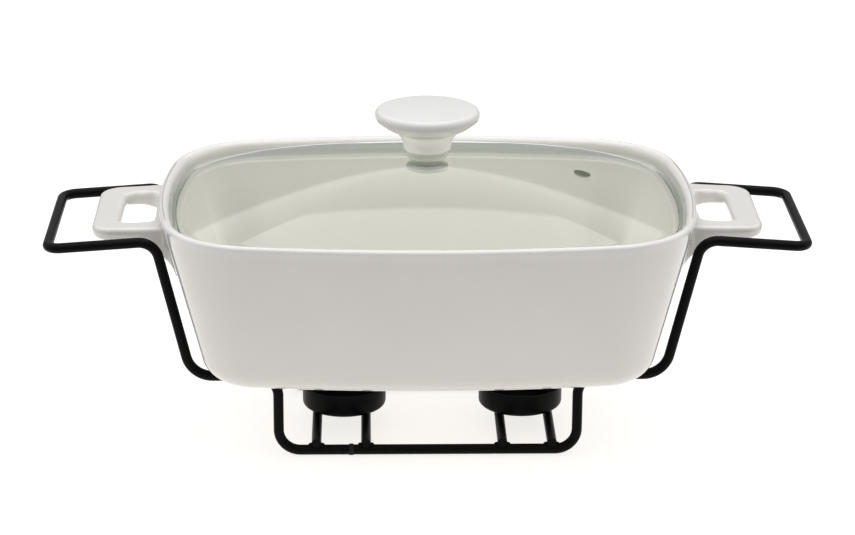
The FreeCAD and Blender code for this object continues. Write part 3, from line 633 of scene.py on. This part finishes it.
def markGlaze(mesh, sizes, spread):
    # painted light: inside below the ledge the glaze is painted whitest, less so higher up the wall, and a
    # little whiter at the rim's top; painted shade darkens the ledge's corner by the lid's edge
    mouthReach, ledgeReach = outlineReach(mouthOutline), outlineReach(ledgeOutline)
    floor, ledge = sizes["floor"], sizes["ledge"]
    taper = rimOutline["halfDepth"] - footOutline["halfDepth"]
    paintedLight = mesh.attributes.new("paintedLight", "FLOAT", "POINT")
    paintedShade = mesh.attributes.new("paintedShade", "FLOAT", "POINT")
    for vertex in mesh.vertices:
        x, y, z = (value / mm for value in vertex.co)
        angle, reach = math.atan2(y, x), math.hypot(x, y)
        wall = mouthReach(angle) - taper * (1 - (z - floor) / (ledge - floor))
        inside = 1 - smoothStep(*spread["wallFade"], reach - wall)
        white = 1 - spread["paintedLightFalloff"] * smoothStep(*spread["paintedLightFalloffSpan"], z - floor)
        cavity = white * inside * (1 - smoothStep(*spread["mouthFade"], z - ledge))
        if z < floor - spread["floorSkin"]:
            cavity = 0.0
        rim = spread["rimPaintedLight"] * smoothStep(*spread["rimFade"], z - sizes["rimTop"])
        paintedLight.data[vertex.index].value = max(cavity, rim)
        aside = ledgeReach(angle) - reach
        corner = smoothStep(*spread["paintedShadeWallSide"], aside) * (1 - smoothStep(*spread["paintedShadeLidSide"], aside))
        height = smoothStep(*spread["paintedShadeFoot"], z - ledge) * (1 - smoothStep(*spread["paintedShadeTop"], z - ledge))
        paintedShade.data[vertex.index].value = corner * height


makeDish()
print("dish made")


lidSizes = {
    "gap": 2.4, "under": 118.9, "thickness": 4.4, "rise": 22.2, "flange": 3.0, "flangeRise": 0.4,
    "flangeLand": 1.0, "power": 1.6, "seat": 13.0, "seatBow": 20.0, "seatCorner": 11.5, "edgeRound": 2.0,
    "stemHole": 5.0, "ventPlace": 79.0, "ventRadius": 4.3, "ventSegments": 40, "ventOver": 5.0, "rings": 34,
}
glassMarks = {
    "edgeDepth": 0.45, "edgeOver": 0.1, "rearFade": 0.72, "rearSpan": (20, 60),
    "ventTint": 0.85, "ventShade": 3.4, "ventEdge": 0.15, "ventBand": 0.2,
    "wallNormal": 0.2, "downNormal": -0.1,  # limits on the upward part of a face's normal
}
glassOutline = inset(ledgeOutline, lidSizes["gap"])
domeOutline = inset(glassOutline, lidSizes["flange"])
seatOutline = {"halfLength": lidSizes["seat"], "halfDepth": lidSizes["seat"], "longBow": lidSizes["seatBow"],
               "shortBow": lidSizes["seatBow"], "corner": lidSizes["seatCorner"]}
glassTop = lidSizes["under"] + lidSizes["thickness"] + lidSizes["rise"]


def domeRing(share, foot):
    return {key: seatOutline[key] * (1 - share) + foot[key] * share for key in foot}


def domeSurface(foot, top, rise, power, rings):
    rows = []
    for step in range(rings + 1):
        share = step / rings
        rows.append(outlinePoints(domeRing(share, foot), top - rise * share ** power))
    return rows


def ventShadeFoot(x, y):
    # on the vent's wall, the line below which its near edge hides the wall from a low eye
    share = (x - lidSizes["seat"]) / (domeOutline["halfLength"] - lidSizes["seat"])
    top = glassTop - (lidSizes["rise"] - lidSizes["flangeRise"]) * share ** lidSizes["power"]
    return top - glassMarks["ventEdge"] - glassMarks["ventShade"] * max(y, 0) / lidSizes["ventRadius"]


def stemHoleRing(sizes, height):
    # points of the centre hole, each on the spoke of its point on the dome's innermost ring
    ring = []
    for point, normal in bowedOutline(seatOutline):
        spoke = point.normalized() * sizes["stemHole"]
        ring.append(Vector((spoke.x, spoke.y, height)))
    return ring


def makeVentBore(sizes):
    # the cutter for the vent, with a ring of points at the shade line so that the glass gets an edge there
    segments = sizes["ventSegments"]
    turns = [2 * math.pi * step / segments for step in range(segments)]
    place, radius = sizes["ventPlace"], sizes["ventRadius"]
    circle = [(place + radius * math.cos(turn), radius * math.sin(turn)) for turn in turns]
    rings = [[(x, y, sizes["under"] - sizes["ventOver"]) for x, y in circle],
             [(x, y, ventShadeFoot(x, y)) for x, y in circle],
             [(x, y, glassTop + sizes["ventOver"]) for x, y in circle]]
    caps = [tuple(range(segments)), tuple(range(2 * segments, 3 * segments))]
    vertices = [millimetres(*point) for ring in rings for point in ring]
    faces = ringFaces(len(rings), segments, wrap=False) + caps
    return tidyNormals(meshObject("ventBore", vertices, faces), smooth=False)


def makeLidGlass(sizes):
    under, thick, power, rings = sizes["under"], sizes["thickness"], sizes["power"], sizes["rings"]
    innerTop = glassTop - thick
    outerRows = domeSurface(domeOutline, glassTop, sizes["rise"] - sizes["flangeRise"], power, rings)
    innerFoot = inset(domeOutline, sizes["flangeLand"])
    innerRows = domeSurface(innerFoot, innerTop, innerTop - under, power, rings)
    edge = sectionRows([
        (outerRows[-1], 0, 0, 5),
        (outlinePoints(glassOutline, under + thick), sizes["edgeRound"], 5, 2),
        (outlinePoints(glassOutline, under), sizes["edgeRound"], 5, 4),
        (innerRows[-1], 0, 0, 1),
    ])
    rows = [stemHoleRing(sizes, glassTop)] + outerRows[:-1] + edge + list(reversed(innerRows[:-1]))
    rows.append(stemHoleRing(sizes, innerTop))
    vertices = [millimetres(*point) for row in rows for point in row]
    blank = tidyNormals(meshObject("lidGlassBlank", vertices, ringFaces(len(rows), len(rows[0]))))
    bore = makeVentBore(sizes)
    cut = blank.modifiers.new("vent", "BOOLEAN")
    cut.operation = "DIFFERENCE"
    cut.solver = "EXACT"
    cut.object = bore
    glass = evaluatedMesh(blank, "domedGlass")
    bpy.data.objects.remove(bore)
    shadeMesh(glass.data)
    sharpenByAngle(glass, degrees=40)
    markGlass(glass.data, sizes, glassMarks)
    return finishPiece(glass, "lid", "lid_glass", lidGlass, "lid_glass")


def markGlass(mesh, sizes, marks):
    # faces of the ground edge and high on the vent's wall show green, and the underside mirrors nothing
    ring = bowedOutline(glassOutline)
    tree = KDTree(len(ring))
    for index, (point, normal) in enumerate(ring):
        tree.insert((point.x, point.y, 0), index)
    tree.balance()
    edge = mesh.attributes.new("edge", "FLOAT", "FACE")
    under = mesh.attributes.new("under", "FLOAT", "FACE")
    edgeTop = sizes["under"] + sizes["thickness"] + marks["edgeOver"]
    for face in mesh.polygons:
        x, y, z = (value / mm for value in face.center)
        point, normal = ring[tree.find((x, y, 0))[1]]
        depth = (point.x - x) * normal.x + (point.y - y) * normal.y
        onEdge = depth < marks["edgeDepth"] and z < edgeTop
        tint = 1 - marks["rearFade"] * smoothStep(*marks["rearSpan"], y) if onEdge else 0.0
        hidden = 1.0 if face.normal.z < marks["downNormal"] else 0.0
        fromBore = abs(math.hypot(x - sizes["ventPlace"], y) - sizes["ventRadius"])
        if fromBore < marks["ventBand"] and abs(face.normal.z) < marks["wallNormal"]:
            tint = marks["ventTint"] if z > ventShadeFoot(x, y) else 0.0
            hidden = 1.0
        edge.data[face.index].value = tint
        under.data[face.index].value = hidden


makeLidGlass(lidSizes)
print("lid glass made")


def turnedPiece(name, profile, segments, centre=(0, 0)):
    # profile: (radius, height) from the bottom round the outside to the top; one off the axis makes a ring
    vertices, faces, rings = [], [], []
    for radius, height in profile:
        first = len(vertices)
        if radius < onAxis:
            vertices.append(millimetres(*centre, height))
            rings.append([first] * segments)
            continue
        for step in range(segments):
            angle = 2 * math.pi * step / segments
            vertices.append(millimetres(centre[0] + radius * math.cos(angle),
                                        centre[1] + radius * math.sin(angle), height))
        rings.append(list(range(first, first + segments)))
    if profile[0][0] > onAxis:
        rings.append(rings[0])
    for lower, upper in zip(rings, rings[1:]):
        for step in range(segments):
            after = (step + 1) % segments
            corners = tuple(dict.fromkeys((lower[step], lower[after], upper[after], upper[step])))
            if len(corners) > 2:
                faces.append(corners)
    return tidyNormals(meshObject(name, vertices, faces))


def filletedProfile(corners, steps):
    # corners: (radius, height, rounding), where a rounding of 0 leaves the corner sharp
    line = []
    for index, (radius, height, rounding) in enumerate(corners):
        if rounding <= 0:
            line.append((radius, height))
            continue
        before, after = corners[index - 1], corners[(index + 1) % len(corners)]
        arc = roundedCorner(Vector((before[0], before[1], 0)), Vector((radius, height, 0)),
                            Vector((after[0], after[1], 0)), rounding, steps)
        line += [(point.x, point.y) for point in arc]
    return line


knobSizes = {
    "base": 149.5, "height": 21.6, "crown": 0.8, "radius": 26.6, "bore": 3.8, "boreHeight": 10.0,
    "neck": 11.8, "waist": 13.4, "waistHeight": 8.2, "belly": 21.0, "bellyHeight": 12.0, "browHeight": 16.2,
    "neckRound": 0.8, "waistRound": 9.5, "bellyRound": 12.0, "browRound": 3.6, "rimRound": 2.7,
    "flange": 5.2, "flangeHeight": 1.2, "segments": 128, "arcSteps": 10, "crownSteps": 8,
    "paintedLightBelow": (9.0, 15.0),  # painted light: the knob is painted whiter below these heights, fading out over them
}


def makeKnob(sizes):
    base, top = sizes["base"], sizes["base"] + sizes["height"]
    outside = filletedProfile([
        (sizes["bore"], base + sizes["boreHeight"], 0), (sizes["bore"], base + sizes["flangeHeight"], 0),
        (sizes["flange"], base + sizes["flangeHeight"], 0), (sizes["flange"], base, 0),
        (sizes["neck"], base, sizes["neckRound"]),
        (sizes["waist"], base + sizes["waistHeight"], sizes["waistRound"]),
        (sizes["belly"], base + sizes["bellyHeight"], sizes["bellyRound"]),
        (sizes["radius"], base + sizes["browHeight"], sizes["browRound"]),
        (sizes["radius"], top - sizes["crown"], sizes["rimRound"]), (0.0, top, 0),
    ], sizes["arcSteps"])
    edgeRadius, edgeHeight = outside[-2]
    crown = []
    for step in range(1, sizes["crownSteps"] + 1):
        share = 1 - step / sizes["crownSteps"]
        crown.append((edgeRadius * share, top - (top - edgeHeight) * share ** 2))
    profile = [(0.0, base + sizes["boreHeight"])] + outside[:-1] + crown
    knob = turnedPiece("mushroomKnob", profile, sizes["segments"])
    sharpenByAngle(knob, degrees=50)
    # painted light: the neck and the cap's underside are painted whiter, standing in for light from below
    paintedLight = knob.data.attributes.new("paintedLight", "FLOAT", "POINT")
    for vertex in knob.data.vertices:
        paintedLight.data[vertex.index].value = 1 - smoothStep(*sizes["paintedLightBelow"], vertex.co.z / mm - base)
    # the photograph's lid doesn't mirror the knob
    for piece in (knob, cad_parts["knob_insert"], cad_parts["lid_screw"]):
        piece.visible_glossy = False
    return finishPiece(knob, "lid", "knob_glaze", knobGlaze, "lid_knob")


gasketSizes = {
    "base": 145.5, "top": 149.5, "bore": 3.0, "radius": 10.4, "round": 0.5,
    "groove": 9.7, "grooveHalfWidth": 0.3, "grooveRound": 0.2, "arcSteps": 5, "segments": 96,
}


def makeGasket(sizes):
    base, top, radius, edge = sizes["base"], sizes["top"], sizes["radius"], sizes["round"]
    middle, groove = (base + top) / 2, sizes["grooveHalfWidth"]
    profile = filletedProfile([
        (sizes["bore"], base, 0), (radius, base, edge),
        (radius, middle - groove, edge), (sizes["groove"], middle, sizes["grooveRound"]),
        (radius, middle + groove, edge), (radius, top, edge), (sizes["bore"], top, 0),
    ], sizes["arcSteps"])
    gasket = turnedPiece("knobGasket", profile, sizes["segments"])
    sharpenByAngle(gasket, degrees=50)
    return finishPiece(gasket, "lid", "seal_rubber", sealRubber, "knob_gasket")


cupSizes = {
    "radius": 21.7, "wall": 1.0, "height": 11.4, "footRound": 2.4, "lipRound": 0.4, "base": 9.5,
    "setback": 2.5, "arcSteps": 6, "segments": 96,
}
cupPlaces = {"cup_left": ("leftCup", -42.8), "cup_right": ("rightCup", 49.2)}


def makeCup(name, node, x, sizes):
    outer, inner = sizes["radius"], sizes["radius"] - sizes["wall"]
    base, top = sizes["base"], sizes["base"] + sizes["height"]
    floor = base + sizes["wall"]
    profile = filletedProfile([
        (0.0, base, 0), (outer, base, sizes["footRound"]), (outer, top, sizes["lipRound"]),
        (inner, top, sizes["lipRound"]), (inner, floor, sizes["footRound"] - sizes["wall"]), (0.0, floor, 0),
    ], sizes["arcSteps"])
    cup = turnedPiece(name, profile, sizes["segments"], (x, sizes["setback"]))
    return finishPiece(cup, "stand", "cup_coat", cupCoat, node)


makeKnob(knobSizes)
makeGasket(gasketSizes)
for node, (name, x) in cupPlaces.items():
    makeCup(name, node, x, cupSizes)
print("knob, gasket and cups made")


wireSizes = {
    "diameter": 5.2, "barHalfDepth": 43.5, "legHalfSpacing": 75.8, "shelfHeight": 43.3,
    "shelfHalfLength": 119.3, "gripRoot": (136.2, 115.0), "gripEnd": (189.6, 111.2), "joint": -39.0,
    "legBend": 11.0, "slopeBend": 13.5, "gripRootBend": 9.8, "gripCornerBend": 7.0,
    "sides": 32, "bendSteps": 14,
}


def wireInputs(sizes):
    return {
        "Wire Radius": ("NodeSocketFloat", sizes["diameter"] / 2 * mm),
        "Bend Scale": ("NodeSocketFloat", 1.0),
        "Bend Steps": ("NodeSocketInt", sizes["bendSteps"]),
        "Sides": ("NodeSocketInt", sizes["sides"]),
        "Finish": ("NodeSocketMaterial", blackCoat),
    }


def newTree(name, inputs):
    tree = bpy.data.node_groups.new(name, "GeometryNodeTree")
    tree.interface.new_socket("Geometry", in_out="INPUT", socket_type="NodeSocketGeometry")
    for label, (kind, value) in inputs.items():
        tree.interface.new_socket(label, in_out="INPUT", socket_type=kind).default_value = value
    tree.interface.new_socket("Geometry", in_out="OUTPUT", socket_type="NodeSocketGeometry")
    return tree, tree.nodes.new("NodeGroupInput"), tree.nodes.new("NodeGroupOutput")


def runTree(carrier, tree, inputs, name):
    # sets the inputs by their identifiers, then turns the result into a plain mesh
    modifier = carrier.modifiers.new("shape", "NODES")
    modifier.node_group = tree
    identifiers = {item.name: item.identifier for item in tree.interface.items_tree
                   if item.item_type == "SOCKET" and item.in_out == "INPUT"}
    for label, (kind, value) in inputs.items():
        modifier[identifiers[label]] = value
    return evaluatedMesh(carrier, name)


def bentWireTree(inputs):
    # a line of points becomes a curve with round bends, swept with a round section
    tree, given, result = newTree("bentWire", inputs)
    nodes, links = tree.nodes, tree.links
    toCurve = nodes.new("GeometryNodeMeshToCurve")
    fillet = nodes.new("GeometryNodeFilletCurve")
    fillet.mode = "POLY"
    circle = nodes.new("GeometryNodeCurvePrimitiveCircle")
    sweep = nodes.new("GeometryNodeCurveToMesh")
    sweep.inputs["Fill Caps"].default_value = True
    smooth = nodes.new("GeometryNodeSetShadeSmooth")
    realize = nodes.new("GeometryNodeRealizeInstances")
    finish = nodes.new("GeometryNodeSetMaterial")
    bend = nodes.new("GeometryNodeInputNamedAttribute")
    bend.data_type = "FLOAT"
    bend.inputs["Name"].default_value = "bend"
    links.new(mathOf(nodes, links, "MULTIPLY", bend.outputs["Attribute"], given.outputs["Bend Scale"]),
              fillet.inputs["Radius"])
    for source, output, target, entry in (
            (given, "Geometry", toCurve, "Mesh"), (toCurve, "Curve", fillet, "Curve"),
            (given, "Bend Steps", fillet, "Count"), (given, "Sides", circle, "Resolution"),
            (given, "Wire Radius", circle, "Radius"), (fillet, "Curve", sweep, "Curve"),
            (circle, "Curve", sweep, "Profile Curve"), (sweep, "Mesh", smooth, "Geometry"),
            (smooth, "Geometry", realize, "Geometry"), (realize, "Geometry", finish, "Geometry"),
            (given, "Finish", finish, "Material"), (finish, "Geometry", result, "Geometry")):
        links.new(source.outputs[output], target.inputs[entry])
    return tree


def makeBentWire(tree, name, node, side, sizes):
    depth, low = sizes["barHalfDepth"], sizes["diameter"] / 2
    profile = [(sizes["legHalfSpacing"], low, sizes["legBend"]),
               (sizes["legHalfSpacing"], sizes["shelfHeight"], sizes["legBend"]),
               (sizes["shelfHalfLength"], sizes["shelfHeight"], sizes["slopeBend"]),
               (*sizes["gripRoot"], sizes["gripRootBend"]), (*sizes["gripEnd"], sizes["gripCornerBend"])]
    route = [(sizes["joint"], -depth, low, 0.0)]
    route += [(x * side, -depth, z, radius) for x, z, radius in profile]
    route += [(x * side, depth, z, radius) for x, z, radius in reversed(profile)]
    route += [(sizes["joint"], depth, low, 0.0)]
    mesh = bpy.data.meshes.new(name + "Route")
    mesh.from_pydata([millimetres(x, y, z) for x, y, z, radius in route],
                     [(i, i + 1) for i in range(len(route) - 1)], [])
    bends = mesh.attributes.new("bend", "FLOAT", "POINT")
    for index, (x, y, z, radius) in enumerate(route):
        bends.data[index].value = radius * mm
    wire = runTree(addObject(name + "Route", mesh), tree, wireInputs(sizes), name)
    sharpenByAngle(tidyNormals(wire), degrees=60)
    return finishPiece(wire, "stand", "black_coat", blackCoat, node)


wireTree = bentWireTree(wireInputs(wireSizes))
makeBentWire(wireTree, "rightWire", "wire_right", 1, wireSizes)
makeBentWire(wireTree, "leftWire", "wire_left", -1, wireSizes)
print("bent wires made")


keptFinishes = {
    "butt_weld_front": weldCoat, "butt_weld_rear": weldCoat, "cross_wire_welds": blackCoat,
    "cup_welds": blackCoat, "cross_wire_1": blackCoat, "cross_wire_2": blackCoat, "cross_wire_3": blackCoat,
    "cross_wire_4": blackCoat, "knob_insert": insertBrass, "glass_bush": bushRubberWithPaintedLight,
    "lid_washer": fixingSteelWithPaintedLight, "lid_screw": fixingSteelWithPaintedLight,
}
for node, material in keptFinishes.items():
    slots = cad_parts[node].data.materials
    slots.clear()
    slots.append(material)
print("kept nodes finished")


floorLook = {
    "half": 6.0, "tone": (0.27, 0.27, 0.27, 1.0), "toneLight": (0.29, 0.29, 0.29, 1.0), "cloud": 1.5,
    "roughness": 0.8, "glow": 0.82, "farGlow": 0.0, "glowEdge": (0.57, 0.82), "glowCentre": (0.0, 0.35, 0.0),
    "glowTint": (1.0, 0.975, 0.94, 1.0),
}
lightLook = {
    "horizon": 0.42, "low": 0.50, "middle": 1.20, "high": 2.25, "front": 0.34, "frontTop": 1.28, "side": 0.8,
    "horizonEdge": (0.02, 0.34), "lowEdge": (0.43, 0.51), "highEdge": (0.832, 0.856),
    "frontEdge": (-0.70, -0.10), "frontTopEdge": (0.45, 0.75),
    "sideEdge": (0.80, 0.95), "sideTop": (0.50, 0.70),
    "lowTint": (1.0, 0.99, 0.97, 1.0), "highTint": (0.985, 1.0, 1.03, 1.0),
}
cameraLook = {
    "place": (-0.0320, -1.3873, 0.5812), "target": (0.0004, 0.0, 0.08535), "roll": 0.26,
    "lens": 120.6, "sensor": 36.0, "clip": (0.05, 50.0),
}


def makeFloor(look):
    half = look["half"]
    floor = meshObject("paleFloor", [(-half, -half, 0), (half, -half, 0), (half, half, 0), (-half, half, 0)],
                       [(0, 1, 2, 3)])
    material, nodes, links, shader, place = newMaterial("paleFloor")
    cloud = noiseOf(nodes, links, place, look["cloud"], detail=2.0)
    links.new(mixColours(nodes, links, cloud, look["tone"], look["toneLight"]), shader.inputs["Base Color"])
    shader.inputs["Roughness"].default_value = look["roughness"]
    # a table of opal acrylic lit from below, evenly round the object and fading out beyond it
    away = nodes.new("ShaderNodeVectorMath")
    away.operation = "DISTANCE"
    away.inputs[1].default_value = look["glowCentre"]
    links.new(place.outputs["Object"], away.inputs[0])
    shader.inputs["Emission Color"].default_value = look["glowTint"]
    glow = smoothRange(nodes, links, away.outputs["Value"], *look["glowEdge"], look["glow"], look["farGlow"])
    links.new(glow, shader.inputs["Emission Strength"])
    floor.data.materials.append(material)


def makeLights(look):
    # a studio tent: dim near the horizon and in front, bright from a third of the way up, brightest overhead
    world = bpy.data.worlds.new("studio")
    world.use_nodes = True
    nodes, links = world.node_tree.nodes, world.node_tree.links
    place = nodes.new("ShaderNodeTexCoord")
    split = nodes.new("ShaderNodeSeparateXYZ")
    links.new(place.outputs["Generated"], split.inputs["Vector"])
    background = nodes["Background"]
    across, depth, height = (split.outputs[axis] for axis in "XYZ")
    warmth = smoothRange(nodes, links, height, *look["lowEdge"], 0.0, 1.0)
    tint = mixColours(nodes, links, warmth, look["lowTint"], look["highTint"])
    links.new(tint, background.inputs["Color"])
    # behind: dim at the horizon, then two steps up, which the lid mirrors as soft arcs
    horizon = smoothRange(nodes, links, height, *look["horizonEdge"], look["horizon"] - look["low"], 0.0)
    walls = smoothRange(nodes, links, height, *look["lowEdge"], look["low"], look["middle"])
    # in front: dim low down and bright from half way up
    front = smoothRange(nodes, links, height, *look["frontTopEdge"], look["front"], look["frontTop"])
    turn = nodes.new("ShaderNodeMix")
    links.new(smoothRange(nodes, links, depth, *look["frontEdge"], 0.0, 1.0), turn.inputs["Factor"])
    links.new(front, turn.inputs["A"])
    links.new(mathOf(nodes, links, "ADD", horizon, walls), turn.inputs["B"])
    ceiling = smoothRange(nodes, links, height, *look["highEdge"], 0.0, look["high"] - look["middle"])
    # a softbox at either side
    aside = mathOf(nodes, links, "ABSOLUTE", across)
    boxes = smoothRange(nodes, links, aside, *look["sideEdge"], 0.0, look["side"])
    boxTop = smoothRange(nodes, links, height, *look["sideTop"], 1.0, 0.0)
    boxes = mathOf(nodes, links, "MULTIPLY", boxes, boxTop)
    around = mathOf(nodes, links, "ADD", turn.outputs["Result"], ceiling)
    links.new(mathOf(nodes, links, "ADD", around, boxes), background.inputs["Strength"])
    bpy.context.scene.world = world
    bpy.context.scene.view_settings.view_transform = "Standard"


def makeCamera(look):
    lens = bpy.data.cameras.new("viewer")
    lens.lens, lens.sensor_width, lens.sensor_fit = look["lens"], look["sensor"], "HORIZONTAL"
    lens.clip_start, lens.clip_end = look["clip"]
    made = addObject("viewer", lens)
    made.location = look["place"]
    aim = (Vector(look["target"]) - made.location).to_track_quat("-Z", "Y").to_matrix().to_4x4()
    turn = aim @ Matrix.Rotation(math.radians(look["roll"]), 4, "Z")
    made.rotation_euler = turn.to_euler()
    bpy.context.scene.camera = made


makeFloor(floorLook)
makeLights(lightLook)
makeCamera(cameraLook)
print("floor, light and camera made")
